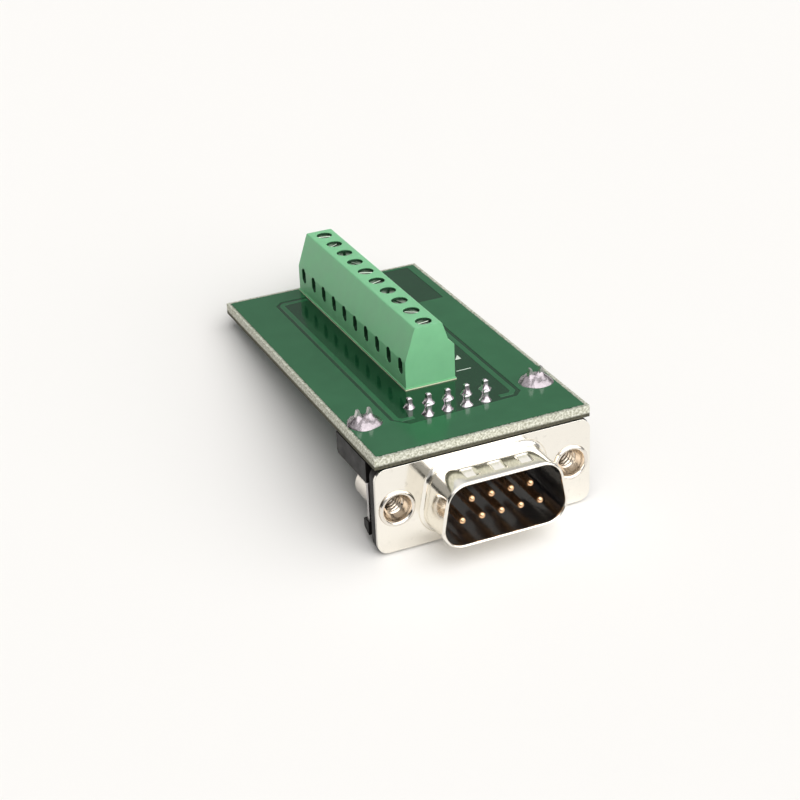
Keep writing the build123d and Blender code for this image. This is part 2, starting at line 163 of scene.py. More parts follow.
@dataclass(frozen=True)
class Finish:
    """Procedural finish in Object coordinates: mottled colour, uneven gloss and a fine surface bump.

    Attributes:
        name: the real material's name.
        colour: its colour as a hex code.
        roughness: mean roughness; it varies by a fifth over the mottles.
        metallic: 1 for bare metal.
        mottle_mm: size of the colour patches.
        mottle: how much lighter and darker the patches are, as a share.
        grain_mm: size of the bump's grain.
        grain_height: height of the bump in millimetres.
        glow_mm: depth that light scatters to, or 0 for an opaque surface.
        sheen: strength of the mirror-like part of a plastic, 0.5 for a common one.
    """
    name: str
    colour: str
    roughness: float
    metallic: float = 0.0
    mottle_mm: float = 2.0
    mottle: float = 0.06
    grain_mm: float = 0.15
    grain_height: float = 0.004
    glow_mm: float = 0.0
    sheen: float = 0.5

    def tone(self, share: float, code: str = "") -> Colour:
        """Gives a colour made lighter or darker by a share."""
        red, green, blue, alpha = srgb(code or self.colour)
        return (red * (1 + share), green * (1 + share), blue * (1 + share), alpha)

    def noise(self, tree: Tree, place: Socket, size: float, detail: float = 3.0) -> Socket:
        """Gives a noise whose features are this many millimetres across."""
        return add_node(tree, "ShaderNodeTexNoise", inputs={
            "Vector": place, "Scale": 1 / (size * MM), "Detail": detail})["Fac"]

    def overlays(self, skin: Skin) -> Overlays:
        """Lists the colours laid over the base, each after the share of it that shows."""
        return []

    def colour_over(self, skin: Skin) -> Socket:
        """Mixes the base colour from the patches' noise and lays each overlay on it.

        Args:
            skin: what the nodes read.

        Returns:
            The colour over the surface.
        """
        colour = add_node(skin.tree, MIX, COLOURS, {
            0: skin.mottle, 6: self.tone(-self.mottle), 7: self.tone(self.mottle)})[2]
        for share, laid in self.overlays(skin):
            colour = add_node(skin.tree, MIX, COLOURS, {0: share, 6: colour, 7: laid})[2]
        return colour

    def roughness_over(self, skin: Skin) -> Socket:
        """Gives the roughness over the surface, from the patches' noise."""
        return add_node(skin.tree, RANGE, inputs={
            "Value": skin.mottle, "From Min": 0.3, "From Max": 0.7,
            "To Min": self.roughness * 0.8, "To Max": self.roughness * 1.2})["Result"]

    def height_over(self, skin: Skin) -> Socket:
        """Gives the bump's height over the surface, from 0 to 1."""
        return self.noise(skin.tree, skin.place, self.grain_mm, 4.0)

    def build(self) -> bpy.types.Material:
        """Makes and returns the Blender material."""
        material = bpy.data.materials.new(self.name)
        material.use_nodes = True
        tree = material.node_tree
        shader = tree.nodes["Principled BSDF"]
        place = add_node(tree, "ShaderNodeTexCoord")["Object"]
        axes = add_node(tree, "ShaderNodeSeparateXYZ", inputs={0: place})
        skin = Skin(tree, place, axes["X"], axes["Y"], axes["Z"], self.noise(tree, place, self.mottle_mm))
        bump = add_node(tree, "ShaderNodeBump", inputs={
            "Strength": 1.0, "Distance": self.grain_height * MM, "Height": self.height_over(skin)})
        tree.links.new(self.colour_over(skin), shader.inputs["Base Color"])
        tree.links.new(self.roughness_over(skin), shader.inputs["Roughness"])
        tree.links.new(bump["Normal"], shader.inputs["Normal"])
        shader.inputs["Metallic"].default_value = self.metallic
        shader.inputs["Specular IOR Level"].default_value = self.sheen
        if self.glow_mm:
            shader.inputs["Subsurface Weight"].default_value = 0.2
            shader.inputs["Subsurface Radius"].default_value = (0.6, 1.0, 0.7)
            shader.inputs["Subsurface Scale"].default_value = self.glow_mm * MM
        return material


@dataclass(frozen=True)
class BoardFinish(Finish):
    """Glass-epoxy board: glossy green mask on its two faces, fibrous cut edges painted pale near the top and
    shaded dark low down, and a ragged pale margin.

    Attributes:
        fibres: colours of the cut glass fibres low down on the edge, in painted shade, and near the top, in
            painted light.
        resin: colours of the resin between them, likewise.
        painted_light_mm: depths under the top between which the edge turns from painted light to painted
            shade.
        fibre_mm: size of the fibres' speckle.
        margin_mm: mean width of the bared margin on the faces.
        rag_mm: size of the margin's tears.
        margin_share: how much of the mask is gone there.
        cut_roughness: roughness of the cut laminate.
    """
    fibres: tuple[str, str] = ("#5a5846", "#dcdccf")
    resin: tuple[str, str] = ("#3f3d32", "#a3a28c")
    painted_light_mm: Pair = (0.95, 1.2)
    fibre_mm: float = 0.3
    margin_mm: float = 0.42
    rag_mm: float = 0.35
    margin_share: float = 0.85
    cut_roughness: float = 0.85

    def edge_share(self, skin: Skin) -> Socket:
        """Tells the cut laminate from the mask.

        Args:
            skin: what the nodes read.

        Returns:
            1 on the cut edges, fading over their ragged margin to 0 on the mask.
        """
        tree, margin = skin.tree, self.margin_mm * MM
        normal = add_node(tree, "ShaderNodeNewGeometry")["Normal"]
        upright = add_node(tree, MATH, {"operation": "ABSOLUTE"}, {
            0: add_node(tree, "ShaderNodeSeparateXYZ", inputs={0: normal})["Z"]})[0]
        cut = add_node(tree, MATH, {"operation": "LESS_THAN"}, {0: upright, 1: 0.5})[0]
        gaps = []
        for along, middle, length in ((skin.x, 0, BOARD_WIDTH), (skin.y, BOARD_MIDDLE_Y, BOARD_LENGTH)):
            offset = add_node(tree, MATH, {"operation": "SUBTRACT"}, {0: along, 1: middle * MM})[0]
            away = add_node(tree, MATH, {"operation": "ABSOLUTE"}, {0: offset})[0]
            gaps.append(add_node(tree, MATH, {"operation": "SUBTRACT"}, {
                0: length / 2 * MM, 1: away})[0])
        nearest = add_node(tree, MATH, {"operation": "MINIMUM"}, {0: gaps[0], 1: gaps[1]})[0]
        reach = add_node(tree, MATH, {"operation": "MULTIPLY"}, {
            0: self.noise(tree, skin.place, self.rag_mm, 5.0), 1: 2 * margin})[0]
        inside = add_node(tree, MATH, {"operation": "SUBTRACT"}, {0: reach, 1: nearest})[0]
        bared = add_node(tree, RANGE, inputs={
            "Value": inside, "From Min": -0.5 * margin, "From Max": 0.4 * margin,
            "To Max": self.margin_share})["Result"]
        return add_node(tree, MATH, {"operation": "MAXIMUM"}, {0: cut, 1: bared})[0]

    def overlays(self, skin: Skin) -> Overlays:
        """Lays the speckled cut laminate over the mask, with painted light near the top of the edge and
        painted shade low down.

        Args:
            skin: what the nodes read.

        Returns:
            The laminate's colour after its share.
        """
        tree = skin.tree
        speckle = add_node(tree, RANGE, inputs={
            "Value": self.noise(tree, skin.place, self.fibre_mm, 5.0),
            "From Min": 0.36, "From Max": 0.62})["Result"]
        # painted light and shade: the cut edge is pale near the top, where light falls on it, and dark low
        # down
        painted_light_share = add_node(tree, RANGE, inputs={
            "Value": skin.z, "From Min": (BOARD_TOP - self.painted_light_mm[1]) * MM,
            "From Max": (BOARD_TOP - self.painted_light_mm[0]) * MM})["Result"]
        fibres = add_node(tree, MIX, COLOURS, {
            0: painted_light_share, 6: srgb(self.fibres[0]), 7: self.tone(0.1, self.fibres[1])})[2]
        resin = add_node(tree, MIX, COLOURS, {
            0: painted_light_share, 6: srgb(self.resin[0]), 7: srgb(self.resin[1])})[2]
        laminate = add_node(tree, MIX, COLOURS, {0: speckle, 6: resin, 7: fibres})[2]
        return [(self.edge_share(skin), laminate)]

    def roughness_over(self, skin: Skin) -> Socket:
        """Keeps the mask glossy and the cut laminate dull."""
        mask = super().roughness_over(skin)
        return add_node(skin.tree, MIX, NUMBERS, {
            0: self.edge_share(skin), 2: mask, 3: self.cut_roughness})[0]


@dataclass(frozen=True)
class HousingFinish(Finish):
    """Moulded plastic: a painted highlight along its foot just above the board, and painted shade down its
    wells and entries.
    """
    # painted highlight: a pale band along the foot, where the lip there catches the light
    foot_highlight_colour: str = "#f4f4d2"
    foot_highlight_mm: float = 0.16
    # painted shade: a dark green down the screw wells and wire entries
    well_shade_colour: str = "#24452f"

    def inside(self, skin: Skin) -> Socket:
        """Tells the walls of the openings, where shade is painted, from the outer faces.

        Each place is tested against the box of each kind of opening, with its distance along Y to the nearest
        pole taken for Y, because all poles are alike.

        Args:
            skin: what the nodes read.

        Returns:
            1 within the screw wells and the wire entries, and 0 outside.
        """
        tree = skin.tree
        from_first = add_node(tree, MATH, {"operation": "SUBTRACT"}, {0: skin.y, 1: POLES[0] * MM})[0]
        from_pole = add_node(tree, MATH, {"operation": "PINGPONG"}, {
            0: from_first, 1: POLE_PITCH / 2 * MM})[0]
        openings = []
        for y_half, x_span, z_span in SHADED_WELLS:
            within = [add_node(tree, MATH, {"operation": "COMPARE"}, {
                0: along, 1: middle * MM, 2: half * MM})[0]
                for along, (middle, half) in ((from_pole, (0, y_half)), (skin.x, x_span), (skin.z, z_span))]
            both = add_node(tree, MATH, {"operation": "MULTIPLY"}, {0: within[0], 1: within[1]})[0]
            openings.append(add_node(tree, MATH, {"operation": "MULTIPLY"}, {
                0: both, 1: within[2]})[0])
        return add_node(tree, MATH, {"operation": "MAXIMUM"}, {0: openings[0], 1: openings[1]})[0]

    def overlays(self, skin: Skin) -> Overlays:
        """Lays a painted highlight along the foot just above the board, and then painted shade down the wells
        and entries.
        """
        # painted highlight along the foot, then painted shade in the wells and entries
        foot = add_node(skin.tree, MATH, {"operation": "LESS_THAN"}, {
            0: skin.z, 1: (BOARD_TOP + self.foot_highlight_mm) * MM})[0]
        return [(foot, srgb(self.foot_highlight_colour)), (self.inside(skin), srgb(self.well_shade_colour))]


@dataclass(frozen=True)
class PinFinish(Finish):
    """Brass pin with a gold flash at the mating end that turns to tin towards its tail."""
    metallic: float = 1.0
    tail_colour: str = "#c9c6c4"
    turn_mm: Pair = (2.6, 3.4)

    def overlays(self, skin: Skin) -> Overlays:
        """Lays tin over the gold by how far back along Y the surface lies."""
        first, last = self.turn_mm
        tinned = add_node(skin.tree, RANGE, inputs={
            "Value": skin.y, "From Min": first * MM, "From Max": last * MM})["Result"]
        return [(tinned, srgb(self.tail_colour))]


@dataclass(frozen=True)
class WornFinish(Finish):
    """Plated metal with fine rubbing marks drawn out along one axis, and small dull stains."""
    metallic: float = 1.0
    stretch: tuple[float, float, float] = (1.0, 1.0, 1.0)
    stain: float = 0.25
    stain_colour: str = "#8a7d6c"
    stain_mm: float = 0.9

    def height_over(self, skin: Skin) -> Socket:
        """Draws the grain out into rubbing marks."""
        drawn = add_node(skin.tree, "ShaderNodeVectorMath", {"operation": "MULTIPLY"}, {
            0: skin.place, 1: self.stretch})[0]
        return self.noise(skin.tree, drawn, self.grain_mm, 3.0)

    def overlays(self, skin: Skin) -> Overlays:
        """Lays small brownish stains over the plating."""
        stained = add_node(skin.tree, RANGE, inputs={
            "Value": self.noise(skin.tree, skin.place, self.stain_mm, 5.0),
            "From Min": 0.62, "From Max": 0.75, "To Max": self.stain})["Result"]
        return [(stained, srgb(self.stain_colour))]


@dataclass(frozen=True)
class BoreFinish(WornFinish):
    """Plated insert with painted shade, a darker brownish tone, from just inside its mouth to the back of its
    neck.
    """
    # painted shade: a darker brownish tone down the bore, where little light reaches
    bore_shade_colour: str = "#cbc0b2"
    bore_middle: float = 1.55
    bore_half: float = 1.75

    def overlays(self, skin: Skin) -> Overlays:
        """Lays the painted shade over the rest by how far back along Y the surface lies."""
        shaded_bore = add_node(skin.tree, MATH, {"operation": "COMPARE"}, {
            0: skin.y, 1: self.bore_middle * MM, 2: self.bore_half * MM})[0]
        return [*super().overlays(skin), (shaded_bore, srgb(self.bore_shade_colour))]


class Palette:
    """Every finish of the part, built once and looked up by its slot in the record."""

    FINISHES = {
        # deep glossy green that mirrors the block, with cut laminate round it that is painted pale near the
        # top and shaded dark low down
        "solder_mask": BoardFinish("glass_epoxy_with_solder_mask", "#134026", 0.12, mottle_mm=4, mottle=0.1,
                                   grain_mm=0.5, grain_height=0.0015),
        # slightly lighter green where copper lies under the mask
        "masked_copper": Finish("solder_mask_over_copper", "#2a6641", 0.14, mottle_mm=3, mottle=0.1,
                                grain_mm=0.4, grain_height=0.0015),
        # soft, faintly see-through moulded green with a fine spark-eroded texture, with painted shade down
        # its wells and a painted highlight along its foot
        "green_nylon": HousingFinish("moulded_green_nylon", "#84c896", 0.42, mottle_mm=2.2, mottle=0.09,
                                     grain_mm=0.16, grain_height=0.006, glow_mm=0.25, sheen=0.3),
        # bright warm-white plating that shows its surroundings a little blurred
        "nickel_plate": WornFinish("bright_nickel_on_steel", "#f6f2e9", 0.13, mottle_mm=2.5, mottle=0.03,
                                   grain_mm=0.25, grain_height=0.0012, stretch=(0.3, 1.0, 1.0)),
        # turned steel with the same plating, a little duller, with painted shade down its bore
        "nickel_insert": BoreFinish("nickel_on_turned_steel", "#e9e3da", 0.16, mottle_mm=1.0, mottle=0.05,
                                    grain_mm=0.12, grain_height=0.0015, stretch=(1.0, 3.0, 1.0)),
        # soft white-grey tin
        "tinned_steel": WornFinish("tinned_steel_strip", "#c8c5c3", 0.3, mottle_mm=0.8, mottle=0.08,
                                   grain_mm=0.12, grain_height=0.002),
        # satin brown-black moulding
        "black_pbt": Finish("moulded_black_polyester", "#141110", 0.45, mottle_mm=1.5, mottle=0.12,
                            grain_mm=0.12, grain_height=0.004, sheen=0.25),
        # polished black face between the pins
        "black_insulator": Finish("polished_black_insulator", "#100e12", 0.1, mottle_mm=1.5, mottle=0.1,
                                  grain_mm=0.5, grain_height=0.002, sheen=0.2),
        # bright uneven tin
        "solder": Finish("bright_solder", "#bdb5ba", 0.2, metallic=1.0, mottle_mm=0.5, mottle=0.16,
                         grain_mm=0.5, grain_height=0.05),
        # the same metal where it cooled slowly into a grey, pitted skin
        "frosted_solder": Finish("frosted_solder", "#9a9296", 0.26, metallic=1.0, mottle_mm=0.4, mottle=0.3,
                                 grain_mm=0.4, grain_height=0.05),
        # coppery gold with soft highlights
        "gold_flash": PinFinish("gold_flash_on_brass", "#e6bd95", 0.2, mottle_mm=0.6, mottle=0.1,
                                grain_mm=0.12, grain_height=0.001),
        # soft, slightly yellow tin
        "tinned_brass": WornFinish("tinned_brass_strip", "#c9c5bd", 0.3, mottle_mm=0.8, mottle=0.08,
                                   grain_mm=0.12, grain_height=0.002),
        # dull grey screws with green painted into their colour, a painted reflection of the green wells round
        # them
        "zinc_steel": WornFinish("zinc_plated_steel", "#a9b5a6", 0.32, mottle_mm=0.7, mottle=0.1,
                                 grain_mm=0.1, grain_height=0.002),
        # soft warm grey that shows down the wire entries
        "nickel_brass": WornFinish("nickel_on_brass_sheet", "#c6c2b8", 0.28, mottle_mm=0.8,
                                   grain_mm=0.12, grain_height=0.002),
        # thin matt print
        "ink": Finish("white_legend_ink", "#d9e2d8", 0.6, mottle_mm=0.3, mottle=0.08, grain_mm=0.08),
    }

    def __init__(self) -> None:
        """Starts with no material built."""
        self.built: dict[str, bpy.types.Material] = {}

    def __getitem__(self, slot: str) -> bpy.types.Material:
        """Gives a slot's material, and builds it the first time."""
        if slot not in self.built:
            self.built[slot] = self.FINISHES[slot].build()
        return self.built[slot]


def points(x: Level, y: Level, z: Level) -> np.ndarray:
    """Stacks three coordinates, each a number or an array spread over the others, into points."""
    return np.stack(np.broadcast_arrays(x, y, z), axis=-1)


def round_turn(count: int) -> np.ndarray:
    """Gives angles spaced evenly round a full turn."""
    return np.arange(count) * 2 * math.pi / count


def circle(radius: float, middle: Pair, count: int = 48) -> np.ndarray:
    """Gives a circle's points, n by 2."""
    angles = round_turn(count)
    return np.stack([middle[0] + radius * np.cos(angles), middle[1] + radius * np.sin(angles)], axis=1)


def smooth_step(value: np.ndarray) -> np.ndarray:
    """Rises smoothly from 0 to 1 as the value does."""
    share = np.clip(value, 0, 1)
    return share * share * (3 - 2 * share)


@dataclass
class Piece:
    """Points and faces of one piece, gathered block by block in millimetres."""
    name: str
    blocks: list[np.ndarray] = field(default_factory=list)
    faces: list[list[int]] = field(default_factory=list)
    count: int = 0

    def add(self, block: np.ndarray, faces: np.ndarray) -> None:
        """Adds a block.

        Args:
            block: its points, n by 3.
            faces: the numbers of the points round each face, counted within the block.
        """
        self.blocks.append(block)
        self.faces.extend((faces + self.count).tolist())
        self.count += len(block)

    def add_grid(self, grid: np.ndarray) -> None:
        """Adds a tube of quads.

        Args:
            grid: its points, as rows by columns by 3, joined round the columns.
        """
        rows, columns = grid.shape[:2]
        row = np.arange(rows - 1)[:, None]
        column = np.arange(columns)[None, :]
        following = (column + 1) % columns
        quads = np.stack([row * columns + column, row * columns + following,
                          (row + 1) * columns + following, (row + 1) * columns + column], axis=-1)
        self.add(grid.reshape(-1, 3), quads.reshape(-1, 4))

    def add_solid(self, grid: np.ndarray) -> None:
        """Adds a tube like add_grid's and closes both its ends with a fan from the middle."""
        self.add_grid(grid)
        for loop in (grid[0], grid[-1]):
            rim = np.arange(len(loop))
            self.add(np.vstack([loop, loop.mean(axis=0)]), points(rim, np.roll(rim, -1), len(loop)))

    def add_plate(self, loops: list[np.ndarray], y: float) -> None:
        """Fills a flat region that faces along Y.

        A triangle is dropped where its middle lies on the inner side of every edge of some hole.

        Args:
            loops: the outer loop and its convex holes, each n by 2 in X and Z.
            y: where the region lies along Y.
        """
        corners = np.vstack(loops)
        starts = np.cumsum([0] + [len(loop) for loop in loops])
        edges = [(start + i, start + (i + 1) % len(loop)) for start, loop in zip(starts, loops)
                 for i in range(len(loop))]
        flat, _, found, *_ = delaunay_2d_cdt([Vector(c) for c in corners], edges, [], 1, 1e-6)
        flat, triangles = np.array(flat), np.array(found)
        middles = flat[triangles].mean(axis=1)
        for hole in loops[1:]:
            along = np.roll(hole, -1, axis=0) - hole
            away = middles[:, None] - hole[None]
            turn = along[None, :, 0] * away[..., 1] - along[None, :, 1] * away[..., 0]
            outside = (turn < 0).any(axis=1)
            middles, triangles = middles[outside], triangles[outside]
        self.add(points(flat[:, 0], y, flat[:, 1]), triangles)

    def finish(self, palette: Palette, slot: str, replaces: tuple[str, ...] = (), sharp: float = 35.0,
               body: str = BODY, look: str = "") -> bpy.types.Object:
        """Makes the Blender object: merges seams, turns faces outwards, shades it and seats it on its body.

        Args:
            palette: the finishes.
            slot: the record's slot that it belongs to.
            replaces: the solids that it stands for.
            sharp: edges sharper than this many degrees stay crisp.
            body: the body that it moves with.
            look: its finish, where it isn't the slot's own.

        Returns:
            The new object.
        """
        mesh = bpy.data.meshes.new(self.name)
        mesh.from_pydata((np.vstack(self.blocks) * MM).tolist(), [], self.faces)
        work = bmesh.new()
        work.from_mesh(mesh)
        bmesh.ops.remove_doubles(work, verts=work.verts, dist=2e-7)
        bmesh.ops.recalc_face_normals(work, faces=work.faces)
        work.to_mesh(mesh)
        work.free()
        mesh.shade_smooth()
        mesh.set_sharp_from_angle(angle=math.radians(sharp))
        mesh.materials.append(palette[look or slot])
        piece = bpy.data.objects.new(self.name, mesh)
        bpy.context.scene.collection.objects.link(piece)
        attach(piece, body)
        if replaces:
            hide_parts(*replaces)
        log.info("%s: %d faces", self.name, len(mesh.polygons))
        return piece


@dataclass(frozen=True)
class Outline:
    """Convex outline with round corners, kept as corner centres and normals so that it can be offset.

    Attributes:
        vertices: the sharp corners, anticlockwise in X and Z.
        corner: radius of the round corners.
        step: spacing of the points along the straight sides.
        turns: points round each corner.
    """
    vertices: tuple[Pair, ...]
    corner: float
    step: float
    turns: int = 12

    @classmethod
    def leaning(cls, size: Pair, corner: float, step: float, lean: float = 0.0,
                middle: float = 0.0) -> "Outline":
        """Makes a rectangle whose sides may lean in, such as the plug's D.

        Args:
            size: its width over the round lower corners, and its height.
            corner: radius of the round corners.
            step: spacing of the points along the sides.
            lean: how far the sides lean in, in degrees.
            middle: height of its middle.

        Returns:
            The outline.
        """
        width, height = size
        slope, cosine = math.tan(math.radians(lean)), math.cos(math.radians(lean))
        half = width / 2 + corner * (slope + 1 / cosine - 1)
        low, high = middle - height / 2, middle + height / 2
        return cls(((-half, low), (half, low), (half - height * slope, high), (height * slope - half, high)),
                   corner, step)

    def rail(self) -> tuple[np.ndarray, np.ndarray]:
        """Samples the outline.

        Returns:
            The centre each point is struck from, and the outward normal there, each n by 2. The point at an
            offset o outwards is centre + (corner + o) * normal.
        """
        corners = np.array(self.vertices)
        sides = np.roll(corners, -1, axis=0) - corners
        sides /= np.linalg.norm(sides, axis=1)[:, None]
        after = np.stack([sides[:, 1], -sides[:, 0]], axis=1)
        before = np.roll(after, 1, axis=0)
        inset = self.corner / (1 + (before * after).sum(axis=1))
        middles = corners - inset[:, None] * (before + after)
        centres, normals = [], []
        for i in range(len(corners)):
            start = math.atan2(before[i][1], before[i][0])
            sweep = (math.atan2(after[i][1], after[i][0]) - start) % (2 * math.pi)
            angles = start + sweep * np.linspace(0, 1, self.turns)
            normals.append(np.stack([np.cos(angles), np.sin(angles)], axis=1))
            centres.append(np.repeat(middles[i][None], self.turns, axis=0))
            ahead = middles[(i + 1) % len(corners)]
            pieces = max(2, round(np.linalg.norm(ahead - middles[i]) / self.step))
            shares = np.arange(1, pieces)[:, None] / pieces
            centres.append(middles[i] + (ahead - middles[i]) * shares)
            normals.append(np.repeat(after[i][None], pieces - 1, axis=0))
        return np.vstack(centres), np.vstack(normals)

    def loop(self, offset: float = 0.0) -> np.ndarray:
        """Gives the outline's points at an offset outwards, n by 2."""
        centres, normals = self.rail()
        return centres + (self.corner + offset) * normals


@dataclass
class PlugShell:
    """Drawn plug shell: flange, D-shaped nose with a rolled lip and a soft root, and pressed dimples."""
    palette: Palette
    mouth: Pair = (16.92, 8.36)
    mouth_corner: float = 2.6
    mouth_step: float = 0.16
    mouth_lean: float = 10.0
    flange: Pair = (30.8, 12.18)
    flange_corner: float = 1.6
    flange_middle: float = -0.16
    flange_step: float = 2.0
    sheet: float = 0.5
    wall: float = 0.45
    depth: float = 5.9
    root: float = 0.5
    crease: Pair = (0.2, 0.09)
    lip: float = 0.42
    dimple_pitch: float = 3.9
    dimple_size: Pair = (1.9, 2.3)
    dimple_depth: float = 0.42
    dimple_fall: float = 0.22
    dimple_y: float = -3.4
    hole: float = 1.97
    edge: float = 0.015

    def dimples(self, place: np.ndarray, normals: np.ndarray) -> np.ndarray:
        """Works out how deep the dimples press the nose in.

        A dimple is the product of two flat-topped bumps along X and Y, each falling over a short way at its
        ends. Its floor rises evenly towards the flange, by four fifths of its depth.

        Args:
            place: the points, with X and Y first in their last axis.
            normals: the outline's outward normals there, in X and Z.

        Returns:
            The depth at each point.
        """
        along = np.abs(place[..., 0][..., None] - self.dimple_pitch * np.array([-1, 0, 1])).min(axis=-1)
        back = np.abs(place[..., 1] - self.dimple_y)
        across = smooth_step((self.dimple_size[0] / 2 - along) / self.dimple_fall)
        deep = smooth_step((self.dimple_size[1] / 2 - back) / self.dimple_fall)
        ramp = 0.6 - 0.8 * (place[..., 1] - self.dimple_y) / self.dimple_size[1]
        return self.dimple_depth * ramp * across * deep * (normals[..., 1] > 0.999)

    def section(self) -> np.ndarray:
        """Works out the nose's section: a crease, a quarter round, a straight wall and a half-round lip.

        Returns:
            Offsets from the mouth and places along Y, n by 2, from the root over the lip to the inside.
        """
        quarter = np.linspace(0, math.pi / 2, 7)
        half = np.linspace(0, math.pi, 17)
        straight = np.linspace(-self.root, self.lip - self.depth, 38)[1:-1]
        foot = self.wall + self.root
        root = np.stack([foot - self.root * np.sin(quarter), self.root * (np.cos(quarter) - 1)], axis=1)
        lip = np.stack([self.wall / 2 * (1 + np.cos(half)),
                        self.lip * (1 - np.sin(half)) - self.depth], axis=1)
        outside = np.stack([np.full(len(straight), self.wall), straight], axis=1)
        inside = np.stack([np.zeros(len(straight)), straight[::-1]], axis=1)
        width, deep = self.crease
        start = [[foot + width, 0], [foot + width - 0.07, 0], [foot + 0.06, deep]]
        end = [[0, 0], [0, self.sheet]]
        return np.vstack([start, root, outside, lip, inside, end])

    def build(self) -> None:
        """Builds the flange and the nose as one closed skin."""
        piece = Piece("plug_shell")
        mouth = Outline.leaning(self.mouth, self.mouth_corner, self.mouth_step, lean=self.mouth_lean)
        centres, normals = mouth.rail()
        section = self.section()
        ring = centres[None] + (mouth.corner + section[:, 0])[:, None, None] * normals[None]
        grid = points(ring[..., 0], section[:, 1:], ring[..., 1])
        press = self.dimples(grid, normals)
        grid[..., 0] -= press * normals[:, 0]
        grid[..., 2] -= press * normals[:, 1]
        piece.add_grid(grid)
        flange = Outline.leaning(self.flange, self.flange_corner, self.flange_step, middle=self.flange_middle)
        holes = [circle(self.hole, (hand.value * JACK_X, 0)) for hand in Hand]
        front_hole = mouth.loop(self.wall + self.root + self.crease[0])
        piece.add_plate([flange.loop(-self.edge), front_hole, *holes], 0)
        piece.add_plate([flange.loop(-self.edge), mouth.loop(), *holes], self.sheet)
        rim = [(-self.edge, 0), (0, self.edge), (0, self.sheet - self.edge), (-self.edge, self.sheet)]
        self.add_walls(piece, [flange.loop(offset) for offset, _ in rim], [y for _, y in rim])
        for hole in holes:
            self.add_walls(piece, [hole, hole], [0, self.sheet])
        piece.finish(self.palette, "nickel_plate", ("front_shell",), 32)

    @staticmethod
    def add_walls(piece: Piece, loops: list[np.ndarray], places: list[float]) -> None:
        """Joins loops (n by 2) at their places along Y into a band."""
        piece.add_grid(np.array([points(loop[:, 0], y, loop[:, 1]) for loop, y in zip(loops, places)]))


@dataclass
class PinNoses:
    """Round noses over the nine contact pins' blunt ends."""
    palette: Palette
    radius: float = 0.515
    start: float = -4.27
    length: float = 0.58
    row: float = 1.42
    rings: int = 10
    columns: int = 28

    def build(self) -> None:
        """Builds nine half ellipsoids that point along -Y."""
        piece = Piece("pin_noses")
        angles = round_turn(self.columns)
        rise = np.linspace(0, math.pi / 2, self.rings + 1)[:-1, None]
        radius = self.radius * np.cos(rise)
        back = self.start - self.length * np.sin(rise)
        for count, height in ((5, -self.row), (4, self.row)):
            for n in range(count):
                middle = (n - (count - 1) / 2) * PIN_PITCH
                piece.add_solid(points(middle + radius * np.cos(angles), back,
                                       height + radius * np.sin(angles)))
        piece.finish(self.palette, "gold_flash", (), 50)


@dataclass
class JackInsert:
    """Turned jack screw insert: flared over the flange, with a real 4-40 thread down its bore."""
    palette: Palette
    hand: Hand
    bore: float = 1.42
    bore_start: float = 1.15
    thread_depth: float = 0.3
    thread_pitch: float = 0.635
    run_out: float = 0.3
    plain_ends: Pair = (1.1, 0.1)
    back: float = 8.2
    rows: int = 140
    columns: int = 72

    # Radius and place along Y down the flare to the lip, and along the neck and the barrel
    FLARE = ((1.46, 1.1), (1.6, 0.85), (1.76, 0.6), (1.84, 0.3), (1.88, 0.0), (1.98, -0.2), (2.09, -0.32))
    NECK = ((1.95, 0.0), (1.95, 3.4), (2.3, 3.4))
    LIP_RADIUS, LIP = 2.55, 0.35

    def profile(self) -> np.ndarray:
        """Works out the outside: the flare, a quarter-round lip, the neck and the barrel.

        Returns:
            Radius and Y from the bore's start over the lip and back along the outside, n by 2.
        """
        roll = np.linspace(0, math.pi / 2, 6)
        lip = [(self.LIP_RADIUS - self.LIP * (1 - math.sin(a)), -self.LIP * math.cos(a)) for a in roll]
        return np.array([*self.FLARE, *lip, *self.NECK, (2.3, self.back - 0.12), (2.18, self.back)])

    def build(self) -> None:
        """Builds the turned body and its threaded bore.

        The bore's radius is 1.42 mm less a ridge that climbs one pitch a turn: depth times a rounded peak of
        the fraction of (Y over pitch minus angle over a full turn). It fades over the run-out at both ends.
        """
        piece = Piece(f"jack_insert_{self.hand.label}")
        angles = round_turn(self.columns)
        rows = np.linspace(self.back - 0.05, self.bore_start, self.rows)
        turn = (rows[:, None] / self.thread_pitch - angles[None] / (2 * math.pi)) % 1.0
        ridge = np.clip(1.25 - np.abs(turn - 0.5) * 2.5, 0, 1) ** 0.8
        front, rear = self.plain_ends[0], self.back - self.plain_ends[1]
        fade = smooth_step((rows - front) / self.run_out) * smooth_step((rear - rows) / self.run_out)
        bore = self.bore - self.thread_depth * ridge * fade[:, None]
        shape = self.profile()
        outside = np.repeat(shape[:, 0][:, None], self.columns, axis=1)
        start = np.full((1, self.columns), self.bore + 0.1)
        radius = np.vstack([start, bore, outside, start])
        places = np.concatenate([[self.back], rows, shape[:, 1], [self.back]])
        middle = self.hand.value * JACK_X
        piece.add_grid(points(middle + radius * np.cos(angles), places[:, None], radius * np.sin(angles)))
        solid = f"threaded_insert_{self.hand.label}"
        piece.finish(self.palette, "nickel_insert", (solid,), 40)


